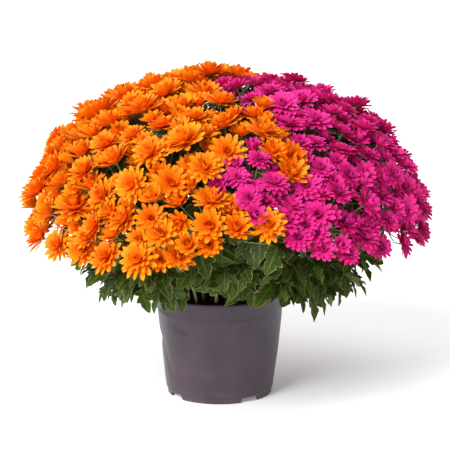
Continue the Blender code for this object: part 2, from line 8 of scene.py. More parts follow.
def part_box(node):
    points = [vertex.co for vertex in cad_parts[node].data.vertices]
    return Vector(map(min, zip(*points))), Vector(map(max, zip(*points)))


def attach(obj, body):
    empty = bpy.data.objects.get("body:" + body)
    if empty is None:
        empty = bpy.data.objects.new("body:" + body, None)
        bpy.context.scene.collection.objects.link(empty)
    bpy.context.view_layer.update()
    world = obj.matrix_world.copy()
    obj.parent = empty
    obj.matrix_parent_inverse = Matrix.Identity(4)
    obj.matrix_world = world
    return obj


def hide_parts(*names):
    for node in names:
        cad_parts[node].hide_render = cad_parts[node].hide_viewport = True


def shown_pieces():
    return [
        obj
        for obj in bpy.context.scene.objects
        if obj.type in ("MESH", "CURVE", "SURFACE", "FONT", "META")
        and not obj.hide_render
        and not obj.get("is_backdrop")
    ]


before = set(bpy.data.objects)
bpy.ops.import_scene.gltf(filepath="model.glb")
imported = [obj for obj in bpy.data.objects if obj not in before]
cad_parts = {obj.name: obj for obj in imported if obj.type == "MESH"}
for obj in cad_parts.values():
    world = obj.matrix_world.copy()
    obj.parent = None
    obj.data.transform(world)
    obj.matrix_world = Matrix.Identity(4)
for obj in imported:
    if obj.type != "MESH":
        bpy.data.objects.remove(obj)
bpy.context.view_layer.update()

# A pot chrysanthemum: a mound of orange and magenta blooms over dark lobed leaves, in a soft nursery pot.
# Metres, +Z up, front towards -Y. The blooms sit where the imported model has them, by the same layout rule.

potLow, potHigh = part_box("pot")
potAxis = Vector(((potLow.x + potHigh.x) / 2, (potLow.y + potHigh.y) / 2, 0))

mound = {
    "seed": 19, "z": 0.268, "radius": 0.281, "height": 0.199, "potX": -0.0125,
    "soilLevel": 0.134, "sprayDepth": 0.060, "handle": 0.12, "peduncleTop": 0.020, "stemLean": 1.4,
    "shootHandle": (0.079, 0.085), "shootEnd": (0.165, 0.188),
    # How blooms settle round their stems.
    "spread": 0.045, "turnRange": 0.3, "firstBloom": 1.08, "otherBlooms": (0.86, 1.04), "elbowRoom": 1.10,
    "steps": 300, "push": 0.22, "pull": 0.012, "bloomGap": 0.0009, "largestBloom": 1.22,
    # The latitude of the lowest blooms, which rises at the front.
    "lowest": -3, "frontRise": 15, "frontAt": 8, "frontWidth": 16,
}
bloomRadius = {"orange": 0.0280, "magenta": 0.0240}
shootAzimuths = (18, -24, -82, 78, 136, -140)
# Every flowering stem: azimuth, latitude on the mound, colour, number of main blooms.
flowerStems = (
    (-5, 12, "orange", 6), (-27, 9, "orange", 7), (-50, 7, "orange", 7), (-78, 5, "orange", 7),
    (-108, 7, "orange", 7), (-139, 8, "orange", 7), (-169, 8, "orange", 7), (33, 10, "magenta", 9),
    (60, 6, "magenta", 9), (89, 6, "magenta", 9), (121, 8, "magenta", 9), (156, 8, "magenta", 9),
    (7, 24, "magenta", 5), (37, 33, "magenta", 9), (79, 33, "magenta", 9), (122, 34, "magenta", 9),
    (163, 38, "magenta", 9), (-22, 33, "orange", 7), (-63, 33, "orange", 7), (-104, 35, "orange", 7),
    (-150, 36, "orange", 7), (8, 42, "orange", 6), (66, 56, "magenta", 9), (36, 68, "magenta", 9),
    (-42, 59, "orange", 7), (-140, 72, "orange", 7),
)
shift = potAxis - Vector((mound["potX"], 0, 0))  # from the mound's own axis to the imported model's place
goldenTurn = 2.39996


def outward(azimuth):
    turn = math.radians(azimuth)
    return Vector((math.sin(turn), -math.cos(turn), 0.0))


def azimuthOf(place):
    return math.degrees(math.atan2(place[0], -place[1]))


def seat(azimuth, latitude, scale=1.0):
    rise = math.radians(latitude)
    level = outward(azimuth) * (mound["radius"] * scale * math.cos(rise))
    return level + Vector((0, 0, mound["z"] + mound["height"] * scale * math.sin(rise)))


def moundNormal(point):
    flat = Vector((point[0], point[1], 0)) / mound["radius"] ** 2
    return (flat + Vector((0, 0, (point[2] - mound["z"]) / mound["height"] ** 2))).normalized()


def onMound(points):
    scale = np.array([mound["radius"], mound["radius"], mound["height"]])
    middle = np.array([0, 0, mound["z"]])
    unit = (points - middle) / scale
    unit /= np.linalg.norm(unit, axis=1)[:, None]
    return unit * scale + middle


def lowestLatitude(azimuth):
    turn = (azimuth - mound["frontAt"]) / mound["frontWidth"]
    return mound["lowest"] + mound["frontRise"] * math.exp(-turn ** 2)


def layOutBlooms():
    # Blooms start round their stems and push each other apart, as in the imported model.
    draw = np.random.default_rng(mound["seed"])
    places, radii, owners = [], [], []
    for number, (azimuth, latitude, colour, count) in enumerate(flowerStems):
        middle = np.array(seat(azimuth, latitude))
        for k in range(count):
            away = mound["spread"] * math.sqrt((k + 0.2) / count)
            turn = k * goldenTurn + draw.uniform(-mound["turnRange"], mound["turnRange"])
            side = np.array(outward(azimuth + 90))
            up = np.cross(side, np.array(moundNormal(middle)))
            places.append(middle + away * (math.cos(turn) * side + math.sin(turn) * up))
            size = mound["firstBloom"] if k == 0 else draw.uniform(*mound["otherBlooms"])
            radii.append(bloomRadius[colour] * size)
            owners.append(number)
    places, radii, owners = onMound(np.array(places)), np.array(radii), np.array(owners)
    homes = np.array([seat(azimuth, latitude) for azimuth, latitude, _, _ in flowerStems])[owners]
    reach = (radii[:, None] + radii[None, :]) * mound["elbowRoom"]
    for step in range(mound["steps"]):
        apart = places[:, None] - places[None, :]
        distance = np.linalg.norm(apart, axis=2) + np.eye(len(places))
        press = np.clip(reach - distance, 0, None) / distance
        np.fill_diagonal(press, 0)
        away = (apart * press[:, :, None]).sum(axis=1)
        places = places + mound["push"] * away + mound["pull"] * (homes - places)
        places = onMound(places)
        for i, place in enumerate(places):
            low = math.radians(lowestLatitude(azimuthOf(place)))
            places[i][2] = max(place[2], mound["z"] + mound["height"] * math.sin(low))
        places = onMound(places)
    return places, grownRadii(places, radii), owners


def grownRadii(places, radii):
    distance = np.linalg.norm(places[:, None] - places[None, :], axis=2)
    np.fill_diagonal(distance, 1.0)
    share = radii[:, None] / (radii[:, None] + radii[None, :])
    room = (distance * share).min(axis=1) - mound["bloomGap"]
    return np.minimum(room, radii * mound["largestBloom"])


def footOf(nodeName):
    # A stem's foot stands in the soil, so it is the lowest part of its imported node.
    points = np.array([v.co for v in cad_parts[nodeName].data.vertices])
    low = points[points[:, 2] < points[:, 2].min() + 0.0004]
    return Vector(np.unique(low.round(5), axis=0).mean(axis=0)) - shift


def stemRoute(azimuth, latitude, foot):
    top = seat(azimuth, latitude)
    middle = Vector((mound["potX"], 0, mound["soilLevel"]))
    lean = (moundNormal(top) + (top - middle).normalized() * mound["stemLean"]).normalized()
    end = top - lean * mound["sprayDepth"]
    return foot, end - lean * mound["handle"], end, lean


def shootRoute(azimuth, foot):
    middle = Vector((mound["potX"], 0, 0))
    away, above = mound["shootHandle"]
    rise = middle + outward(azimuth) * away + Vector((0, 0, mound["soilLevel"] + above))
    away, height = mound["shootEnd"]
    end = middle + outward(azimuth) * away + Vector((0, 0, height))
    return foot, rise, end, (end - rise).normalized()


def bend(route, share):
    foot, rise, end = route[:3]
    return foot * (1 - share) ** 2 + rise * (2 * share * (1 - share)) + end * share ** 2


# Modelling helpers

def deselectAll():
    if bpy.context.object and bpy.context.object.mode != "OBJECT":
        bpy.ops.object.mode_set(mode="OBJECT")
    bpy.ops.object.select_all(action="DESELECT")


def joined(parts, name):
    deselectAll()
    for part in parts:
        part.select_set(True)
    bpy.context.view_layer.objects.active = parts[0]
    if len(parts) > 1:
        bpy.ops.object.join()
    parts[0].name = parts[0].data.name = name
    return parts[0]


def copyOf(model, matrix, name="copy"):
    # Each copy has its own mesh, and its place goes into that mesh.
    made = bpy.data.objects.new(name, model.data.copy())
    made.data.transform(matrix)
    bpy.context.scene.collection.objects.link(made)
    return made


def setTint(made, first=None, second=None, third=None):
    # Random and row values that the materials read: per blade, per row, per bloom. On leaves the values are random
    # tone, age, and a painted lightness that paints shade onto the leaves inside the plant.
    tint = made.data.attributes.get("tint") or made.data.attributes.new("tint", "FLOAT_VECTOR", "POINT")
    values = np.zeros(len(made.data.vertices) * 3, np.float32)
    tint.data.foreach_get("vector", values)
    for offset, value in enumerate((first, second, third)):
        if value is not None:
            values[offset::3] = value
    tint.data.foreach_set("vector", values)
    return made


def growBlade(name, stations, thickness, material):
    # A four-cornered ring is extruded from station to station and closed at the tip. Station: along, half width.
    deselectAll()
    start, width = stations[0]
    bpy.ops.mesh.primitive_circle_add(vertices=4, radius=width, fill_type="NGON",
                                      location=(0, start, 0), rotation=(math.pi / 2, 0, 0))
    blade = bpy.context.object
    bpy.ops.object.mode_set(mode="EDIT")
    bpy.ops.mesh.select_all(action="SELECT")
    bpy.ops.transform.resize(value=(1, 1, thickness / 2 / width), center_override=(0, start, 0))
    for along, newWidth in stations[1:-1]:
        bpy.ops.mesh.extrude_region_move(TRANSFORM_OT_translate={"value": (0, along - start, 0)})
        bpy.ops.transform.resize(value=(newWidth / width, 1, 1), center_override=(0, along, 0))
        start, width = along, newWidth
    bpy.ops.mesh.extrude_region_move(TRANSFORM_OT_translate={"value": (0, stations[-1][0] - start, 0)})
    bpy.ops.mesh.merge(type="CENTER")
    bpy.ops.mesh.select_all(action="SELECT")
    bpy.ops.mesh.normals_make_consistent(inside=False)
    bpy.ops.object.mode_set(mode="OBJECT")
    bpy.ops.object.transform_apply(location=True, rotation=True, scale=True)
    blade.name = name
    blade.data.materials.append(material)
    mapBlade(blade)
    return blade


def mapBlade(blade):
    # Where a point is on its blade: from root to tip, from midrib to edge, and from the upper to the lower face.
    mesh = blade.data
    last = max(v.co.y for v in mesh.vertices)
    values = []
    for v in mesh.vertices:
        edge = abs(v.co.x) > 1e-5 or v.co.y > last - 1e-5
        under = 0.5 if edge else float(v.co.z < 0)
        values += [v.co.y / last, float(edge), under]
    mesh.attributes.new("blade", "FLOAT_VECTOR", "POINT").data.foreach_set("vector", values)


def bendBlade(blade, curl=0.0, cup=0.0, sweep=0.0, wave=0.0, twist=0.0):
    # Curl lifts the tip, cup lifts the edges, sweep carries the edges forward, wave ruffles them.
    for v in blade.data.vertices:
        along, across = v.co.y, v.co.x
        v.co.z += curl * along ** 2 + cup * abs(across) + wave * across * math.sin(along * 14)
        v.co.y += sweep * abs(across)
        v.co.x += twist * along ** 2
    blade.data.update()
    return blade


def smooth(made, degrees=40):
    deselectAll()
    made.select_set(True)
    bpy.context.view_layer.objects.active = made
    bpy.ops.object.shade_smooth_by_angle(angle=math.radians(degrees))
    return made


def stalks(name, runs, material):
    # Round stalks: each run is a list of places with the stalk's radius there.
    curve = bpy.data.curves.new(name, "CURVE")
    curve.dimensions = "3D"
    curve.bevel_depth = 1.0
    curve.bevel_resolution = 1
    curve.use_fill_caps = True
    for run in runs:
        spline = curve.splines.new("POLY")
        spline.points.add(len(run) - 1)
        for point, (place, radius) in zip(spline.points, run):
            point.co = (*place, 1)
            point.radius = radius
    made = bpy.data.objects.new(name, curve)
    bpy.context.scene.collection.objects.link(made)
    deselectAll()
    made.select_set(True)
    bpy.context.view_layer.objects.active = made
    bpy.ops.object.convert(target="MESH")
    made = bpy.context.object
    made.data.materials.append(material)
    made.data.shade_smooth()
    return made


def arc(start, away, end, arrive, count=5):
    # A smooth run from start, leaving along away, to end, arriving along arrive.
    reach = (end - start).length * 0.4
    first, second = start + away * reach, end - arrive * reach
    marks = []
    for i in range(count):
        t = i / (count - 1)
        marks.append(start * (1 - t) ** 3 + first * (3 * t * (1 - t) ** 2)
                     + second * (3 * t * t * (1 - t)) + end * t ** 3)
    return marks


def framed(place, axis, along, size):
    # A matrix that stands a model's Z on an axis and turns its Y towards along.
    axis = axis.normalized()
    side = along.cross(axis).normalized()
    front = axis.cross(side)
    turn = Matrix((side, front, axis)).transposed().to_4x4()
    return Matrix.Translation(place) @ turn @ Matrix.Diagonal((size, size, size, 1))


def finishPiece(piece, name, slotName, *replaced):
    piece.name = piece.data.name = name
    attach(piece, "root")
    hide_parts(*replaced)
    return piece


def remove(made):
    bpy.data.objects.remove(made)


# Material helpers

def newMaterial(name, **values):
    made = bpy.data.materials.new(name)
    made.use_nodes = True
    shader = made.node_tree.nodes["Principled BSDF"]
    for key, value in values.items():
        shader.inputs[key.replace("_", " ")].default_value = value
    return made, made.node_tree, shader


def node(tree, kind, inputs=None, **settings):
    made = tree.nodes.new("ShaderNode" + kind)
    for key, value in settings.items():
        setattr(made, key, value)
    for key, value in (inputs or {}).items():
        if isinstance(value, bpy.types.NodeSocket):
            tree.links.new(value, made.inputs[key])
        else:
            made.inputs[key].default_value = value
    return made


def calc(tree, operation, first, second=0.0, third=0.5):
    return node(tree, "Math", {0: first, 1: second, 2: third}, operation=operation).outputs[0]


def mixed(tree, factor, first, second, blend="MIX"):
    made = node(tree, "Mix", {0: factor, 6: first, 7: second}, data_type="RGBA", blend_type=blend)
    return made.outputs[2]


def ramp(tree, value, stops):
    made = node(tree, "ValToRGB", {0: value})
    elements = made.color_ramp.elements
    while len(elements) < len(stops):
        elements.new(0.5)
    for element, (place, colour) in zip(elements, stops):
        element.position = place
        element.color = (*colour, 1) if len(colour) == 3 else colour
    return made.outputs[0]


def grey(value):
    return (value, value, value)


def attribute(tree, name):
    read = node(tree, "Attribute", attribute_name=name, attribute_type="GEOMETRY")
    parts = node(tree, "SeparateXYZ", {0: read.outputs["Vector"]})
    return read.outputs["Vector"], parts.outputs[0], parts.outputs[1], parts.outputs[2]


def fleck(tree, vector, scale, detail=3.0, rough=0.5):
    return node(tree, "TexNoise", {"Vector": vector, "Scale": scale, "Detail": detail, "Roughness": rough}).outputs[0]


def objectPlace(tree):
    return node(tree, "TexCoord").outputs["Object"]


def raise_(tree, shader, height, strength, distance):
    bump = node(tree, "Bump", {"Height": height, "Strength": strength, "Distance": distance})
    tree.links.new(bump.outputs[0], shader.inputs["Normal"])


petalLooks = {
    "orange": {
        "run": ((0.0, (0.70, 0.060, 0.0)), (0.25, (0.92, 0.125, 0.0)), (0.65, (1.0, 0.200, 0.0)),
                (1.0, (1.0, 0.320, 0.003))),
        "heart": (0.86, 0.095, 0.0), "under": (0.98, 0.22, 0.003), "pale": (1.0, 0.42, 0.006),
        "edge": (1.0, 0.36, 0.005),
    },
    "magenta": {
        "run": ((0.0, (0.22, 0.0008, 0.070)), (0.28, (0.48, 0.002, 0.125)), (0.70, (0.72, 0.005, 0.190)),
                (1.0, (0.88, 0.014, 0.270))),
        "heart": (0.22, 0.001, 0.090), "under": (0.80, 0.022, 0.290), "pale": (0.94, 0.040, 0.33),
        "edge": (0.98, 0.070, 0.38),
    },
}


def petalMaterial(colour):
    look = petalLooks[colour]
    made, tree, shader = newMaterial(colour + "Petal", Roughness=0.62, Subsurface_Weight=0.10,
                                     Subsurface_Scale=0.003, Specular_IOR_Level=0.18)
    blade, along, across, under = attribute(tree, "blade")
    tint, own, row, flower = attribute(tree, "tint")
    body = ramp(tree, along, look["run"])
    body = mixed(tree, calc(tree, "MULTIPLY", row, 0.85), body, (*look["heart"], 1))
    body = mixed(tree, calc(tree, "MULTIPLY", flower, 0.40), body, (*look["pale"], 1))
    edge = calc(tree, "POWER", across, 5.0)
    body = mixed(tree, calc(tree, "MULTIPLY", edge, 0.35), body, (*look["edge"], 1))
    body = mixed(tree, calc(tree, "MULTIPLY", under, 0.45), body, (*look["under"], 1))
    stretch = node(tree, "CombineXYZ", {0: calc(tree, "MULTIPLY", across, 3.2), 1: calc(tree, "MULTIPLY", along, 0.8),
                                        2: calc(tree, "MULTIPLY", own, 37.0)}).outputs[0]
    ribs = fleck(tree, stretch, 4.0, 2.0)
    shade = ramp(tree, ribs, ((0.30, grey(0.80)), (0.68, grey(1.0))))
    body = mixed(tree, 1.0, body, shade, "MULTIPLY")
    tone = node(tree, "HueSaturation", {"Color": body, "Value": calc(tree, "MULTIPLY_ADD", own, 0.16, 0.92)}).outputs[0]
    tree.links.new(tone, shader.inputs["Base Color"])
    raise_(tree, shader, ribs, 0.35, 0.0004)
    return made


leafLook = {
    "deep": (0.013, 0.034, 0.004), "fresh": (0.085, 0.155, 0.010), "vein": (0.20, 0.27, 0.06),
    "edge": (0.42, 0.43, 0.17), "under": (0.105, 0.135, 0.050), "old": (0.22, 0.13, 0.03),
}


def leafMaterial():
    look = leafLook
    made, tree, shader = newMaterial("chrysanthemumLeaf", Roughness=0.52, Specular_IOR_Level=0.25)
    blade, along, across, under = attribute(tree, "blade")
    tint, own, age, light = attribute(tree, "tint")
    place = objectPlace(tree)
    patch = fleck(tree, place, 90.0, 4.0)
    # Deep to fresh green comes from random patches and from the light value. The light value is painted shade: leaves
    # inside the plant are darker, leaves outside are lighter.
    body = mixed(tree, calc(tree, "ADD", calc(tree, "MULTIPLY", patch, 0.35), calc(tree, "MULTIPLY", light, 0.6)),
                 (*look["deep"], 1), (*look["fresh"], 1))
    body = mixed(tree, calc(tree, "GREATER_THAN", age, 0.5), body, mixed(tree, patch, (*look["old"], 1),
                                                                    (*look["fresh"], 1)))
    # Side veins leave the midrib forward, six on each side.
    slant = calc(tree, "SUBTRACT", along, calc(tree, "MULTIPLY", across, 0.13))
    saw = calc(tree, "FRACT", calc(tree, "MULTIPLY", slant, 7.0))
    side = calc(tree, "ABSOLUTE", calc(tree, "SUBTRACT", saw, 0.5))
    veins = ramp(tree, side, ((0.0, grey(0.75)), (0.09, grey(0.0))))
    rib = ramp(tree, across, ((0.05, grey(1.0)), (0.16, grey(0.0))))
    lines = calc(tree, "MAXIMUM", veins, rib)
    body = mixed(tree, calc(tree, "MULTIPLY", lines, 0.42), body, (*look["vein"], 1))
    rim = ramp(tree, across, ((0.86, grey(0.0)), (0.985, grey(0.75))))
    body = mixed(tree, rim, body, (*look["edge"], 1))
    body = mixed(tree, calc(tree, "MULTIPLY", ramp(tree, under, ((0.5, grey(0.0)), (0.62, grey(1.0)))), 0.8), body,
                 (*look["under"], 1))
    tree.links.new(body, shader.inputs["Base Color"])
    relief = calc(tree, "SUBTRACT", calc(tree, "MULTIPLY", patch, 0.6), lines)
    raise_(tree, shader, relief, 0.5, 0.0006)
    return made


stalkLook = {"green": (0.115, 0.165, 0.055), "pale": (0.26, 0.30, 0.15), "woody": (0.125, 0.062, 0.030)}


def stalkMaterial():
    look = stalkLook
    made, tree, shader = newMaterial("greenStalk", Roughness=0.6)
    place = objectPlace(tree)
    height = node(tree, "SeparateXYZ", {0: place}).outputs[2]
    streak = fleck(tree, node(tree, "Mapping", {"Vector": place, "Scale": (260, 260, 60)}).outputs[0], 1.0)
    body = mixed(tree, streak, (*look["green"], 1), (*look["pale"], 1))
    low = ramp(tree, height, ((0.15, grey(1.0)), (0.19, grey(0.0))))
    body = mixed(tree, low, body, (*look["woody"], 1))
    tree.links.new(body, shader.inputs["Base Color"])
    raise_(tree, shader, streak, 0.4, 0.0004)
    return made


potLook = {"deep": (0.026, 0.0135, 0.025), "worn": (0.060, 0.035, 0.054), "dust": (0.14, 0.10, 0.125)}


def potMaterial():
    look = potLook
    made, tree, shader = newMaterial("softNurseryPot", Roughness=0.42)
    place = objectPlace(tree)
    broad = fleck(tree, place, 14.0, 3.0)
    fine = fleck(tree, place, 420.0, 2.0)
    body = mixed(tree, ramp(tree, broad, ((0.30, grey(0.0)), (0.72, grey(1.0)))), (*look["deep"], 1), (*look["worn"], 1))
    scuffs = fleck(tree, node(tree, "Mapping", {"Vector": place, "Scale": (30, 30, 260)}).outputs[0], 1.0, 4.0)
    body = mixed(tree, ramp(tree, scuffs, ((0.62, grey(0.0)), (0.78, grey(0.28)))), body, (*look["dust"], 1))
    height = node(tree, "SeparateXYZ", {0: place}).outputs[2]
    dusty = calc(tree, "MULTIPLY", ramp(tree, height, ((0.0, grey(0.35)), (0.03, grey(0.0)))), broad)
    body = mixed(tree, dusty, body, (*look["dust"], 1))
    tree.links.new(body, shader.inputs["Base Color"])
    tree.links.new(ramp(tree, broad, ((0.2, grey(0.34)), (0.8, grey(0.50)))), shader.inputs["Roughness"])
    rough = calc(tree, "ADD", calc(tree, "MULTIPLY", broad, 2.0), calc(tree, "MULTIPLY", fine, 0.25))
    raise_(tree, shader, rough, 0.25, 0.0012)
    return made


soilLook = {"peat": (0.016, 0.010, 0.006), "bark": (0.075, 0.040, 0.020), "perlite": (0.62, 0.60, 0.55)}


def soilMaterial():
    look = soilLook
    made, tree, shader = newMaterial("pottingSoil", Roughness=0.95)
    place = objectPlace(tree)
    cells = node(tree, "TexVoronoi", {"Vector": place, "Scale": 260.0})
    grain = fleck(tree, place, 500.0, 4.0)
    body = mixed(tree, ramp(tree, cells.outputs["Color"], ((0.35, grey(0.0)), (0.9, grey(0.8)))),
                 (*look["peat"], 1), (*look["bark"], 1))
    body = mixed(tree, calc(tree, "MULTIPLY", grain, 0.5), body, (*look["peat"], 1))
    tree.links.new(body, shader.inputs["Base Color"])
    raise_(tree, shader, calc(tree, "ADD", cells.outputs["Distance"], grain), 0.8, 0.002)
    return made


def perliteMaterial():
    made, tree, shader = newMaterial("perlite", Roughness=0.9)
    pits = fleck(tree, objectPlace(tree), 900.0, 3.0)
    body = mixed(tree, pits, (0.40, 0.37, 0.32, 1), (*soilLook["perlite"], 1))
    tree.links.new(body, shader.inputs["Base Color"])
    raise_(tree, shader, pits, 0.6, 0.0006)
    return made


# The pot

pot = {
    "sides": 168, "height": 0.154, "rim": 0.095, "bandHeight": 0.024, "bandStep": 0.0011, "wallFoot": 0.0796,
    "wall": 0.0016, "footHeight": 0.0088, "footRadius": 0.0775, "footWall": 0.0034, "wallRings": 26,
    "notches": (-55, 35, 125, 215), "notchWidth": 0.027, "notchHeight": 0.0066, "drain": 0.006, "drainRing": 0.052,
    # Dents: azimuth, height, half width in degrees, half height, depth. The depth of a bulge is below zero.
    "dents": ((-88, 0.084, 18, 0.012, 0.0022), (-36, 0.116, 14, 0.014, 0.0034), (34, 0.075, 14, 0.050, 0.0020),
              (88, 0.085, 30, 0.060, -0.0015), (150, 0.075, 30, 0.040, 0.0032)),
    # Soft creases: azimuth and height of each end, half width, depth.
    "creases": ((-52, 0.118, -30, 0.106, 0.0035, 0.0011), (-70, 0.085, -58, 0.040, 0.005, 0.0010),
                (22, 0.118, 30, 0.030, 0.006, 0.0008), (-20, 0.060, -8, 0.020, 0.008, 0.0005),
                (44, 0.100, 36, 0.060, 0.005, 0.0007)),
}


def wallRadius(height):
    top = pot["rim"] - pot["bandStep"] - 0.0009
    share = (height - pot["footHeight"]) / (pot["height"] - pot["bandHeight"] - pot["footHeight"])
    return pot["wallFoot"] + share * (top - pot["wallFoot"])


def dentDepth(azimuth, height):
    depth = 0.0
    for at, middle, halfWidth, halfHeight, deep in pot["dents"]:
        turn = (azimuth - at + 180) % 360 - 180
        away = (turn / halfWidth) ** 2 + ((height - middle) / halfHeight) ** 2
        depth += deep * math.exp(-1.6 * away)
    here = Vector((azimuth * 0.0015, height, 0))
    for a, b, c, d, halfWidth, deep in pot["creases"]:
        start, end = Vector((a * 0.0015, b, 0)), Vector((c * 0.0015, d, 0))
        run = end - start
        share = min(max((here - start).dot(run) / run.length_squared, 0), 1)
        away = (here - start - run * share).length / halfWidth
        depth += deep * math.exp(-away * away)
    return depth


def potStations():
    bandFoot = pot["height"] - pot["bandHeight"]
    rim, wall, floor = pot["rim"], pot["wall"], pot["footHeight"] + 0.0004
    heights = np.linspace(pot["footHeight"] + 0.0010, bandFoot - 0.0026, pot["wallRings"])
    outside = [(wallRadius(z), z) for z in heights]
    inside = [(r - wall, z) for r, z in outside[::-2]]
    ring = pot["footRadius"]
    return (
        [(0.004, floor), (0.040, floor), (ring - pot["footWall"] - 0.001, floor), (ring - pot["footWall"], floor - 0.001),
         (ring - pot["footWall"], 0.0008), (ring - pot["footWall"] + 0.0008, 0), (ring - 0.0008, 0), (ring, 0.0008),
         (ring + 0.0004, pot["footHeight"] - 0.0016), (ring + 0.0010, pot["footHeight"])]
        + outside
        + [(rim - 0.0026, bandFoot - 0.0004), (rim - 0.0014, bandFoot - 0.0002), (rim - 0.0009, bandFoot + 0.0006),
           (rim - 0.0007, bandFoot + 0.008), (rim - 0.0003, pot["height"] - 0.008), (rim, pot["height"] - 0.0040),
           (rim, pot["height"] - 0.0010), (rim - 0.0007, pot["height"] - 0.0001), (rim - 0.0018, pot["height"]),
           (rim - 0.0026, pot["height"] - 0.0008), (rim - 0.0029, pot["height"] - 0.006), (rim - 0.0034, bandFoot)]
        + inside
        + [(pot["wallFoot"] - wall - 0.0014, floor + 0.0026), (0.040, floor + 0.0018), (0.004, floor + 0.0018)]
    )


def turned(stations, sides, middle):
    # A ring is extruded from station to station, and both ends are filled.
    deselectAll()
    radius, height = stations[0]
    bpy.ops.mesh.primitive_circle_add(vertices=sides, radius=radius, fill_type="NGON",
                                      location=(middle.x, middle.y, height))
    made = bpy.context.object
    bpy.ops.object.mode_set(mode="EDIT")
    bpy.ops.mesh.select_all(action="SELECT")
    for newRadius, newHeight in stations[1:]:
        bpy.ops.mesh.extrude_region_move(TRANSFORM_OT_translate={"value": (0, 0, newHeight - height)})
        grow = newRadius / radius
        bpy.ops.transform.resize(value=(grow, grow, 1), center_override=(middle.x, middle.y, newHeight))
        radius, height = newRadius, newHeight
    bpy.ops.mesh.select_all(action="SELECT")
    bpy.ops.mesh.remove_doubles(threshold=1e-6)
    bpy.ops.mesh.normals_make_consistent(inside=False)
    bpy.ops.object.mode_set(mode="OBJECT")
    bpy.ops.object.transform_apply(location=True, rotation=True, scale=True)
    return made


def makePot(material):
    made = turned(potStations(), pot["sides"], potAxis)
    bandFoot = pot["height"] - pot["bandHeight"]
    for v in made.data.vertices:
        away = v.co - potAxis
        radius = math.hypot(away.x, away.y)
        azimuth = azimuthOf(away)
        if radius < 0.03:
            continue
        if pot["footHeight"] < v.co.z < bandFoot and radius > 0.06:
            fade = min(1, (bandFoot - v.co.z) / 0.006) * min(1, (v.co.z - pot["footHeight"]) / 0.006)
            push = dentDepth(azimuth, v.co.z) * fade
            push += 0.0007 * fade * noise.noise(Vector((azimuth * 0.035, v.co.z * 26, 2.0)))
            v.co -= Vector((away.x, away.y, 0)) / radius * push
        elif v.co.z >= bandFoot - 0.001:
            wobble = 0.0008 * noise.noise(Vector((azimuth * 0.022, 0, 5.0)))
            v.co += Vector((away.x, away.y, 0)) / radius * (wobble - 0.0006)
        elif v.co.z < 0.002:
            for at in pot["notches"]:
                turn = abs((azimuth - at + 180) % 360 - 180)
                if turn < math.degrees(pot["notchWidth"] / 2 / radius):
                    v.co.z = pot["notchHeight"] + v.co.z
    for at in pot["notches"]:
        cutDrain(made, potAxis + outward(at) * pot["drainRing"])
    made.data.materials.append(material)
    smooth(made, 38)
    return finishPiece(made, "nurseryPot", "pot_plastic", "pot")


def cutDrain(made, place):
    deselectAll()
    bpy.ops.mesh.primitive_cylinder_add(vertices=20, radius=pot["drain"], depth=0.02, location=place + Vector((0, 0, 0.011)))
    cutter = bpy.context.object
    bpy.context.view_layer.objects.active = made
    modifier = made.modifiers.new("drain", "BOOLEAN")
    modifier.object = cutter
    modifier.operation = "DIFFERENCE"
    bpy.ops.object.modifier_apply(modifier="drain")
    remove(cutter)


# The soil

soil = {"level": 0.134, "mound": 0.004, "crumbs": 150, "perlite": 26, "roughness": 0.0022}


def soilHeight(x, y):
    away = math.hypot(x, y)
    rise = soil["mound"] * max(0, 1 - (away / 0.092) ** 2)
    return soil["level"] + rise + soil["roughness"] * noise.fractal(Vector((x * 60, y * 60, 1)), 1.0, 2.0, 4)


def makeSoil(earth, white):
    draw = np.random.default_rng(7)
    stations = [(0.074, 0.0125), (0.0745, 0.03), (0.0765, 0.06), (0.081, 0.10), (0.0850, 0.122), (0.0885, 0.1325)]
    stations += [(r, soil["level"]) for r in np.linspace(0.0870, 0.004, 26)]
    made = turned(stations, 72, potAxis)
    for v in made.data.vertices:
        if v.co.z > 0.13:
            v.co.z = soilHeight(v.co.x - potAxis.x, v.co.y - potAxis.y)
    made.data.materials.append(earth)
    smooth(made, 60)
    parts = [made]
    for number in range(soil["crumbs"] + soil["perlite"]):
        away, turn = 0.084 * math.sqrt(draw.uniform()), draw.uniform(0, 2 * math.pi)
        x, y = away * math.cos(turn), away * math.sin(turn)
        size = draw.uniform(0.0011, 0.0032)
        deselectAll()
        bpy.ops.mesh.primitive_ico_sphere_add(subdivisions=1, radius=size,
                                              location=(potAxis.x + x, potAxis.y + y, soilHeight(x, y) + size * 0.2))
        crumb = bpy.context.object
        bpy.ops.transform.resize(value=tuple(draw.uniform(0.6, 1.2, 3)), center_override=crumb.location)
        bpy.ops.object.transform_apply(location=True, rotation=True, scale=True)
        for v in crumb.data.vertices:
            v.co += Vector(draw.uniform(-0.25, 0.25, 3)) * size
        crumb.data.materials.append(white if number < soil["perlite"] else earth)
        parts.append(crumb)
    return finishPiece(joined(parts, "soil"), "pottingSoil", "potting_soil", "soil")


# Petals and blooms, modelled once at a radius of 1

petalShapes = {
    "orange": {
        "long": {"stations": ((0, 0.050), (0.30, 0.092), (0.62, 0.140), (0.86, 0.112), (1, 0)),
                 "curl": 0.06, "cup": 0.30},
        "short": {"stations": ((0, 0.060), (0.42, 0.122), (0.80, 0.118), (1, 0)), "curl": 0.24, "cup": 0.42},
    },
    "magenta": {
        "long": {"stations": ((0, 0.055), (0.30, 0.100), (0.64, 0.152), (0.88, 0.122), (1, 0)),
                 "curl": -0.06, "cup": 0.26},
        "short": {"stations": ((0, 0.065), (0.42, 0.130), (0.80, 0.130), (1, 0)), "curl": 0.28, "cup": 0.40},
    },
}
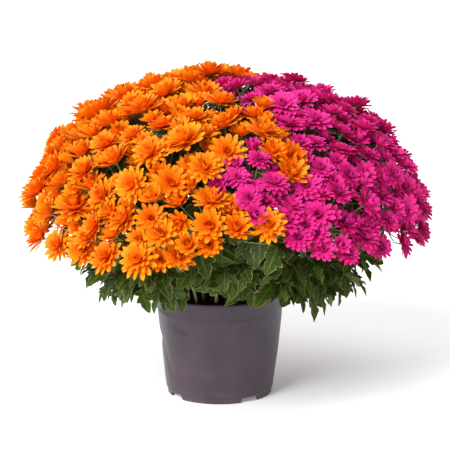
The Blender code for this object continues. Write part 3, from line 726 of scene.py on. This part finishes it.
# Rows of each bloom from the outside in: petal, count, length, tilt in degrees, root radius, root lift, width.
bloomForms = {
    "orange": {
        "open": (("long", 14, 0.99, 6, 0.09, 0.05, 1.00), ("long", 13, 0.94, 22, 0.08, 0.08, 1.00),
                 ("long", 11, 0.84, 38, 0.07, 0.11, 1.00), ("short", 9, 0.66, 54, 0.05, 0.13, 1.05),
                 ("short", 6, 0.46, 72, 0.03, 0.14, 1.0)),
        "full": (("long", 14, 1.00, 12, 0.09, 0.05, 1.00), ("long", 13, 0.95, 29, 0.08, 0.08, 1.00),
                 ("long", 12, 0.86, 45, 0.07, 0.11, 1.00), ("short", 10, 0.70, 60, 0.05, 0.13, 1.0),
                 ("short", 6, 0.50, 76, 0.03, 0.14, 0.9)),
        "cup": (("long", 12, 1.02, 30, 0.08, 0.04, 1.05), ("long", 11, 0.97, 46, 0.07, 0.08, 1.05),
                ("short", 9, 0.80, 62, 0.05, 0.10, 1.0), ("short", 5, 0.60, 78, 0.03, 0.12, 0.9)),
        "half": (("long", 10, 1.02, 50, 0.07, 0.04, 1.20), ("short", 9, 0.96, 63, 0.05, 0.06, 1.20),
                 ("short", 6, 0.84, 77, 0.03, 0.08, 1.0)),
    },
    "magenta": {
        "open": (("long", 14, 0.99, 7, 0.10, 0.06, 1.0), ("long", 13, 0.89, 23, 0.09, 0.09, 0.95),
                 ("long", 11, 0.70, 39, 0.08, 0.12, 0.9), ("short", 9, 0.46, 56, 0.06, 0.14, 0.85),
                 ("short", 6, 0.30, 76, 0.03, 0.15, 0.8)),
        "full": (("long", 14, 0.99, 12, 0.10, 0.06, 1.0), ("long", 13, 0.91, 28, 0.09, 0.09, 0.95),
                 ("long", 12, 0.76, 43, 0.08, 0.12, 0.9), ("short", 10, 0.52, 58, 0.06, 0.14, 0.85),
                 ("short", 6, 0.34, 77, 0.03, 0.15, 0.8)),
        "cup": (("long", 13, 1.0, 22, 0.09, 0.05, 1.0), ("long", 11, 0.87, 40, 0.08, 0.08, 0.95),
                ("short", 9, 0.60, 57, 0.06, 0.12, 0.9), ("short", 5, 0.40, 76, 0.03, 0.13, 0.8)),
        "half": (("long", 9, 1.0, 50, 0.07, 0.04, 1.1), ("short", 8, 0.86, 64, 0.05, 0.06, 1.1),
                 ("short", 5, 0.72, 80, 0.03, 0.08, 1.0)),
    },
}
petalThickness = 0.020
calyxRadius = 0.115


def makePetals(colour, material):
    made = {}
    for name, shape in petalShapes[colour].items():
        blade = growBlade(f"{colour}Petal", shape["stations"], petalThickness, material)
        made[name] = smooth(bendBlade(blade, curl=shape["curl"], cup=shape["cup"]), 50)
    return made


def makeCalyx(material):
    # The green cup under a bloom: a ball pulled out downwards into the pedicel.
    deselectAll()
    bpy.ops.mesh.primitive_uv_sphere_add(segments=7, ring_count=5, radius=calyxRadius, location=(0, 0, 0))
    made = bpy.context.object
    bpy.ops.transform.resize(value=(1, 1, 0.8), center_override=(0, 0, 0))
    bpy.ops.object.transform_apply(location=True, rotation=True, scale=True)
    for v in made.data.vertices:
        v.co.z += 0.03
        if v.co.z < 0:
            v.co.x *= 1 + 2.4 * v.co.z
            v.co.y *= 1 + 2.4 * v.co.z
    made.data.materials.append(material)
    made.data.shade_smooth()
    mapPlain(made)
    return made


def mapPlain(made):
    for name in ("blade", "tint"):
        if not made.data.attributes.get(name):
            made.data.attributes.new(name, "FLOAT_VECTOR", "POINT")


def makeHeart(material):
    # The tight middle that closes a bloom between its innermost petals.
    deselectAll()
    bpy.ops.mesh.primitive_ico_sphere_add(subdivisions=1, radius=0.13, location=(0, 0, 0.17))
    made = bpy.context.object
    bpy.ops.transform.resize(value=(1, 1, 0.75), center_override=(0, 0, 0.17))
    bpy.ops.object.transform_apply(location=True, rotation=True, scale=True)
    made.data.materials.append(material)
    made.data.shade_smooth()
    mapPlain(made)
    return setTint(made, 0.5, 1.0, 0.0)


def makeBloom(colour, form, petals, material, calyx, seed):
    draw = np.random.default_rng(seed)
    parts = []
    rows = bloomForms[colour][form]
    for number, (petal, count, length, tilt, root, lift, width) in enumerate(rows):
        inner = number / (len(rows) - 1)
        start = draw.uniform(0, 2 * math.pi)
        for k in range(count):
            turn = start + 2 * math.pi * (k + draw.uniform(-0.14, 0.14)) / count
            rise = math.radians(tilt + draw.uniform(-6, 6))
            long = length * draw.uniform(0.90, 1.05)
            roll = math.radians(draw.uniform(-16, 16))
            matrix = (Matrix.Rotation(turn, 4, "Z") @ Matrix.Translation((0, root, lift))
                      @ Matrix.Rotation(rise, 4, "X") @ Matrix.Rotation(roll, 4, "Y")
                      @ Matrix.Diagonal((width * (0.55 + 0.45 * length), long, long, 1)))
            parts.append(setTint(copyOf(petals[petal], matrix), draw.uniform(), inner ** 1.6, 0.0))
    parts.append(makeHeart(material))
    parts.append(copyOf(calyx, Matrix.Identity(4)))
    return joined(parts, f"{colour}{form.capitalize()}Bloom")


def makeBud(colour, petals, material, calyx, draw):
    # A closed bud: short petals folded together over a swollen calyx.
    parts = []
    for number, (count, length, tilt, root) in enumerate(((7, 0.62, 82, 0.055), (5, 0.70, 87, 0.03))):
        for k in range(count):
            turn = 2 * math.pi * (k + 0.5 * number) / count
            matrix = (Matrix.Rotation(turn, 4, "Z") @ Matrix.Translation((0, root, 0.03))
                      @ Matrix.Rotation(math.radians(tilt), 4, "X") @ Matrix.Diagonal((1.05, length, length, 1)))
            parts.append(setTint(copyOf(petals["short"], matrix), draw.uniform(), 0.5, 0.0))
    parts.append(makeHeart(material))
    parts.append(copyOf(calyx, Matrix.Diagonal((1.35, 1.35, 1.6, 1))))
    return joined(parts, f"{colour}Bud")


# Sprays

spray = {
    "extras": 300, "extraSize": (0.72, 1.0), "extraDepth": (-0.002, 0.016), "buds": 44, "closest": 0.53,
    "grow": {"orange": (1.08, 1.26), "magenta": (1.04, 1.20)},
    "heightSpread": 0.007, "tiltSpread": 0.20, "lift": (0.20, 1.05), "liftHeights": (0.36, 0.265),
}


def bloomAxis(place, root, draw):
    # The blooms at the foot of the mound turn up to the light more than those at its top.
    high, low = spray["liftHeights"]
    share = min(max((high - place.z) / (high - low), 0), 1)
    lift = spray["lift"][0] + share * (spray["lift"][1] - spray["lift"][0])
    axis = (moundNormal(place) + (place - root).normalized() * 0.4 + Vector((0, 0, lift))).normalized()
    return (axis + Vector(draw.normal(0, spray["tiltSpread"], 3))).normalized()


def fillPlaces(places, radii, owners):
    # Smaller blooms and buds in the gaps, a little deeper than their neighbours.
    draw = np.random.default_rng(41)
    taken = [(Vector(p), r) for p, r in zip(places, radii)]
    found = []
    for attempt in range(9000):
        if len(found) >= spray["extras"] + spray["buds"]:
            break
        rise = math.degrees(math.asin(draw.uniform(-0.06, 0.99)))
        azimuth = draw.uniform(-180, 180)
        bud = len(found) >= spray["extras"]
        place = seat(azimuth, rise)
        owner = int(owners[np.argmin(np.linalg.norm(places - np.array(place), axis=1))])
        colour = flowerStems[owner][2]
        size = bloomRadius[colour] * (0.45 if bud else draw.uniform(*spray["extraSize"]))
        if rise < lowestLatitude(azimuth) - 2:
            continue
        if all((place - other).length > (size + radius) * spray["closest"] for other, radius in taken):
            depth = draw.uniform(*spray["extraDepth"])
            taken.append((place, size))
            found.append((place - moundNormal(place) * depth, size, owner, bud))
    print("small blooms and buds", len(found), "after", attempt, "tries")
    return found


def makeSpray(number, colour, mine, route, models, greenStalk, draw):
    # mine: place, radius, form of each bloom. Pedicels leave the peduncle one above another.
    lean = route[3]
    base = route[2]
    top = base + lean * (mound["sprayDepth"] - mound["peduncleTop"])
    runs = [[(base + (top - base) * t, 0.0021 - 0.0004 * t) for t in (0, 0.35, 0.7, 1.0)]]
    parts = []
    mine = sorted(mine, key=lambda bloom: -(bloom[0] - top).cross(lean).length)
    for k, (place, radius, form) in enumerate(mine):
        root = base + (top - base) * (0.10 + 0.86 * k / len(mine))
        axis = bloomAxis(place, root, draw)
        matrix = framed(place, axis, outward(draw.uniform(0, 360)), radius)
        made = copyOf(models[form], matrix)
        parts.append(setTint(made, third=draw.uniform()))
        marks = arc(root, (lean + (place - root).normalized()).normalized(), place - axis * radius * 0.05, axis)
        runs.append([(mark, 0.00115 - 0.00012 * i + (0.0006 if i == 4 else 0)) for i, mark in enumerate(marks)])
    parts.append(stalks("stalks", runs, greenStalk))
    piece = joined(parts, "spray")
    piece.data.transform(Matrix.Translation(shift))
    name = f"{number + 1:02d}"
    return finishPiece(piece, f"{colour}Flowers_{name}", f"{colour}_petals", f"spray_{colour}_{name}")


# Leaves, modelled once at a length of 1

leafShapes = {
    "broad": {"stations": ((0, 0.014), (0.14, 0.013), (0.19, 0.085), (0.24, 0.195), (0.29, 0.270), (0.345, 0.285),
                           (0.385, 0.235), (0.42, 0.125), (0.47, 0.205), (0.52, 0.310), (0.58, 0.345), (0.63, 0.285),
                           (0.67, 0.155), (0.72, 0.185), (0.77, 0.195), (0.82, 0.150), (0.87, 0.125), (0.94, 0.080),
                           (1, 0)), "sweep": 0.22, "cup": 0.16, "wave": 0.10},
    "long": {"stations": ((0, 0.012), (0.14, 0.011), (0.21, 0.075), (0.29, 0.190), (0.37, 0.235), (0.42, 0.125),
                          (0.49, 0.215), (0.57, 0.270), (0.64, 0.145), (0.71, 0.165), (0.80, 0.130), (0.91, 0.080),
                          (1, 0)), "sweep": 0.28, "cup": 0.28, "wave": -0.12},
    "small": {"stations": ((0, 0.018), (0.20, 0.030), (0.36, 0.150), (0.48, 0.170), (0.56, 0.095), (0.68, 0.140),
                           (0.80, 0.085), (1, 0)), "sweep": 0.40, "cup": 0.40, "wave": 0.05},
}
leafage = {
    "thickness": 0.016, "droop": (-0.34, -0.16, -0.02), "onStem": 6,
    # Twigs of each region, leaves on a twig, leaf length, and how light the leaves are painted. This is painted shade:
    # core and dome leaves inside the plant get a darker range, skirt and rim leaves outside a lighter one, with random
    # tone within each range.
    "core": {"twigs": 110, "leaves": 4, "size": (0.058, 0.076), "light": (0.0, 0.3)},
    "dome": {"twigs": 210, "leaves": 5, "size": (0.038, 0.056), "light": (0.0, 0.6)},
    "skirt": {"twigs": 170, "leaves": 5, "size": (0.036, 0.054), "light": (0.1, 0.9)},
    "rim": {"leaves": 2, "size": (0.048, 0.060), "light": (0.3, 0.9)},
    # The outer face of the skirt under the blooms: radius and height.
    "profile": ((0.228, 0.240), (0.214, 0.220), (0.192, 0.197), (0.166, 0.175), (0.143, 0.172), (0.118, 0.192)),
    # The pot's rim shows under the front of the skirt: azimuth, half width, and how much higher the leaves are.
    "frontGap": (-8, 44, 0.078),
    # Leaves that hang over the rim: azimuth, radius and height of their twig's end, leaves.
    "overRim": ((-24, 0.112, 0.196, 1), (19, 0.108, 0.196, 2), (47, 0.128, 0.178, 3), (58, 0.142, 0.172, 3),
                (-58, 0.128, 0.190, 2), (2, 0.100, 0.200, 1)),
}


def makeLeaves(material):
    models = []
    for name, shape in leafShapes.items():
        for droop in leafage["droop"]:
            blade = growBlade(name, shape["stations"], leafage["thickness"], material)
            bendBlade(blade, curl=droop, cup=shape["cup"], sweep=shape["sweep"], wave=shape["wave"])
            models.append(smooth(blade, 50))
    return models


def leafAt(models, root, along, normal, size, draw, light, shape=None):
    pick = draw.integers(len(models)) if shape is None else shape * 3 + draw.integers(3)
    made = copyOf(models[pick], framed(root, normal, along, size))
    # The third tint value is the leaf's painted lightness: painted shade for leaves inside the plant, with random tone.
    return setTint(made, draw.uniform(), draw.uniform() > 0.965, light)


def profilePoint(share):
    marks = leafage["profile"]
    step = share * (len(marks) - 1)
    i = min(int(step), len(marks) - 2)
    return [a + (b - a) * (step - i) for a, b in zip(marks[i], marks[i + 1])]


def twigTargets(draw):
    # Where leafy twigs end: in the middle of the plant, under the blooms, and over the skirt.
    targets = []
    for region, low, high in (("core", 0.62, 0.74), ("dome", 0.79, 0.93)):
        count = leafage[region]["twigs"]
        for k in range(count):
            rise = math.degrees(math.asin(0.02 + 0.93 * (k + 0.5) / count))
            azimuth = math.degrees(k * goldenTurn) + draw.uniform(-6, 6)
            normal = moundNormal(seat(azimuth, rise))
            targets.append((seat(azimuth, rise, draw.uniform(low, high)), normal, region))
    count = leafage["skirt"]["twigs"]
    for k in range(count):
        share = ((k + 0.5) / count) ** 0.8
        radius, height = profilePoint(share)
        azimuth = math.degrees(k * goldenTurn) + draw.uniform(-7, 7)
        place = outward(azimuth) * radius * draw.uniform(0.95, 1.04)
        at, wide, rise = leafage["frontGap"]
        turn = (azimuth - at + 180) % 360 - 180
        place.z = height + draw.uniform(-0.008, 0.008) + share * rise * math.exp(-(turn / wide) ** 2)
        targets.append((place, (outward(azimuth) + Vector((0, 0, 0.35 - 0.75 * share))).normalized(), "skirt"))
    for azimuth, radius, height, count in leafage["overRim"]:
        place = outward(azimuth) * radius + Vector((0, 0, height))
        targets.append((place, (outward(azimuth) * 0.6 - Vector((0, 0, 0.8))).normalized(), "rim"))
    return targets


def growTwig(target, facing, region, route, share, models, draw):
    # A twig from a stem to its target, and the leaves along its outer part.
    root = bend(route, share)
    stemRun = (bend(route, share + 0.04) - root).normalized()
    away = (stemRun + (target - root).normalized() * 1.2).normalized()
    arrive = (facing + (target - root).normalized() * 0.8).normalized()
    marks = arc(root, away, target, arrive, 6)
    length = (target - root).length
    thick = 0.0013 + min(length, 0.12) * 0.006
    run = [(mark, thick * (1 - 0.11 * i)) for i, mark in enumerate(marks)]
    leaves = []
    count = leafage[region]["leaves"]
    start = draw.uniform(0, 360)
    for k in range(count):
        t = 1.0 - 0.6 * k / count
        place = marks[-1] * max(0, 2 * t - 1) + marks[3] * min(1, 2 - 2 * t) if k else marks[-1]
        sideTurn = math.radians(start + 137.5 * k)
        first = arrive.orthogonal().normalized()
        second = arrive.cross(first)
        spread = first * math.cos(sideTurn) + second * math.sin(sideTurn)
        along = (spread * (0.95 if k else 0.2) + arrive * 0.55 + Vector((0, 0, -0.05))).normalized()
        upright = 0.85 if region == "skirt" else 0.35
        normal = (Vector((0, 0, upright)) + facing * 0.75 + Vector(draw.normal(0, 0.35, 3))).normalized()
        size = draw.uniform(*leafage[region]["size"]) * (0.72 if k == 0 else 1.0)
        # Painted shade: each region's range paints the core and dome leaves darker and the skirt and rim leaves
        # lighter.
        light = draw.uniform(*leafage[region]["light"])
        shape = 2 if k == 0 or region == "core" else None
        leaves.append(leafAt(models, place, along, normal, size, draw, light, shape))
    return run, leaves


def nearestStem(target, region, routes):
    best = None
    for name, route in routes.items():
        for share in (0.40, 0.50, 0.60, 0.70, 0.80):
            place = bend(route, share)
            cost = (target - place).length + (0.03 if place.z > target.z + 0.03 else 0)
            if region == "skirt" and name.startswith("shoot"):
                cost -= 0.01
            if best is None or cost < best[0]:
                best = cost, name, share
    return best[1], best[2]


def makeStem(name, route, twigs, models, greenStalk, draw):
    marks = [bend(route, i / 10) for i in range(11)]
    length = sum((b - a).length for a, b in zip(marks, marks[1:]))
    runs = [[(mark, 0.0027 - 0.0006 * i / 10) for i, mark in enumerate(marks)]]
    leaves = []
    for k in range(leafage["onStem"]):
        share = 0.42 + 0.54 * (k + draw.uniform(-0.2, 0.2)) / leafage["onStem"]
        place, after = bend(route, share), bend(route, share + 0.03)
        run = (after - place).normalized()
        first = run.orthogonal().normalized()
        turn = k * goldenTurn
        spread = first * math.cos(turn) + run.cross(first) * math.sin(turn)
        along = (spread + run * 0.6).normalized()
        normal = (run + Vector((0, 0, 0.8))).normalized()
        # Leaves on the stems, inside the plant, get a low painted lightness: painted shade.
        leaves.append(leafAt(models, place, along, normal, draw.uniform(0.036, 0.054), draw, draw.uniform(0, 0.6)))
    for target, facing, region, share in twigs:
        run, more = growTwig(target, facing, region, route, share, models, draw)
        runs.append(run)
        leaves += more
    leaves.append(stalks("stalks", runs, greenStalk))
    piece = joined(leaves, "stem")
    piece.data.transform(Matrix.Translation(shift))
    kind, number = name.split("_")[0], name.split("_")[-1]
    return finishPiece(piece, ("leafyShoot_" if kind == "shoot" else "leafyStem_") + number, "foliage", name)


# The camera, the floor and the lights

studio = {
    "camera": (0.008, -3.0, 0.886), "pitch": 0.208, "lens": 165.97, "floor": 60.0, "glow": 0.22,
    # The room's light from the left and from the right.
    "room": ((0.80, 0.80, 0.79), (0.06, 0.055, 0.065)),
    # Soft lights: where each comes from, how wide it is in degrees, and its strength.
    "lights": (((-1.6, -2.3, 2.0), 26, 3.9), ((0.2, 0.5, 2.8), 70, 1.5)),
}


def makeStudio():
    scene = bpy.context.scene
    camera = bpy.data.objects.new("camera", bpy.data.cameras.new("camera"))
    camera.data.lens = studio["lens"]
    camera.data.sensor_width = 36
    camera.location = potAxis + Vector(studio["camera"])
    camera.rotation_euler = (math.pi / 2 - studio["pitch"], 0, 0)
    scene.collection.objects.link(camera)
    scene.camera = camera
    for number, (place, width, strength) in enumerate(studio["lights"]):
        light = bpy.data.lights.new(f"softLight{number}", "SUN")
        light.angle = math.radians(width)
        light.energy = strength
        lamp = bpy.data.objects.new(light.name, light)
        lamp.location = place
        lamp.rotation_euler = (-Vector(place)).to_track_quat("-Z", "Y").to_euler()
        scene.collection.objects.link(lamp)
    deselectAll()
    bpy.ops.mesh.primitive_plane_add(size=studio["floor"], location=(0, 0, 0))
    floor = bpy.context.object
    floor.name = "floor"
    material, tree, shader = newMaterial("paleFloor", Roughness=0.7)
    tree.links.new(ramp(tree, fleck(tree, objectPlace(tree), 0.8), ((0.3, grey(0.90)), (0.7, grey(0.92)))),
                   shader.inputs["Base Color"])
    shader.inputs["Emission Color"].default_value = (1, 1, 1, 1)
    shader.inputs["Emission Strength"].default_value = studio["glow"]
    floor.data.materials.append(material)
    floor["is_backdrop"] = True
    world = bpy.data.worlds.new("softRoom")
    scene.world = world
    world.use_nodes = True
    sky = world.node_tree
    across = node(sky, "SeparateXYZ", {0: node(sky, "TexCoord").outputs["Generated"]}).outputs[0]
    left, right = studio["room"]
    colour = ramp(sky, calc(sky, "MULTIPLY_ADD", across, 0.5), ((0.1, left), (0.8, right)))
    sky.links.new(colour, sky.nodes["Background"].inputs["Color"])
    scene.view_settings.view_transform = "Standard"


def main():
    makeStudio()
    print("camera and lights are up")
    makePot(potMaterial())
    makeSoil(soilMaterial(), perliteMaterial())
    print("pot and soil are made")

    greenStalk = stalkMaterial()
    routes = {}
    for n, azimuth in enumerate(shootAzimuths):
        name = f"shoot_{n + 1:02d}"
        routes[name] = shootRoute(azimuth, footOf(name))
    stemNames = []
    for n, (azimuth, latitude, colour, _) in enumerate(flowerStems):
        name = f"stem_{colour}_{n + 1:02d}"
        stemNames.append(name)
        routes[name] = stemRoute(azimuth, latitude, footOf(name))

    places, radii, owners = layOutBlooms()
    draw = np.random.default_rng(23)
    calyx = makeCalyx(greenStalk)
    models = {}
    for colour in bloomRadius:
        material = petalMaterial(colour)
        petals = makePetals(colour, material)
        made = {form: makeBloom(colour, form, petals, material, calyx, 5 + i)
                for i, form in enumerate(bloomForms[colour])}
        made["bud"] = makeBud(colour, petals, material, calyx, draw)
        models[colour] = made
        for petal in petals.values():
            remove(petal)
    print("bloom models are made")
    extras = fillPlaces(places, radii, owners)
    for number, (_, _, colour, _) in enumerate(flowerStems):
        mine = []
        for place, radius in zip(places[owners == number], radii[owners == number]):
            form = ("open", "full", "open", "cup")[draw.integers(4)]
            lift = moundNormal(place) * draw.uniform(-1, 1) * spray["heightSpread"]
            mine.append((Vector(place) + lift, radius * draw.uniform(*spray["grow"][colour]), form))
        for place, radius, owner, bud in extras:
            if owner == number:
                mine.append((place, radius, "bud" if bud else ("cup", "half", "cup")[draw.integers(3)]))
        makeSpray(number, colour, mine, routes[stemNames[number]], models[colour], greenStalk, draw)
    print("sprays are made")

    leafModels = makeLeaves(leafMaterial())
    twigs = {name: [] for name in routes}
    for target, facing, region in twigTargets(draw):
        name, share = nearestStem(target, region, routes)
        twigs[name].append((target, facing, region, share))
    for name, route in routes.items():
        makeStem(name, route, twigs[name], leafModels, greenStalk, draw)
    for model in leafModels + [calyx] + [m for made in models.values() for m in made.values()]:
        remove(model)
    print("leafy stems are made")


main()
triangles = sum(len(p.vertices) - 2 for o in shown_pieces() for p in o.data.polygons)
print("triangles", triangles)
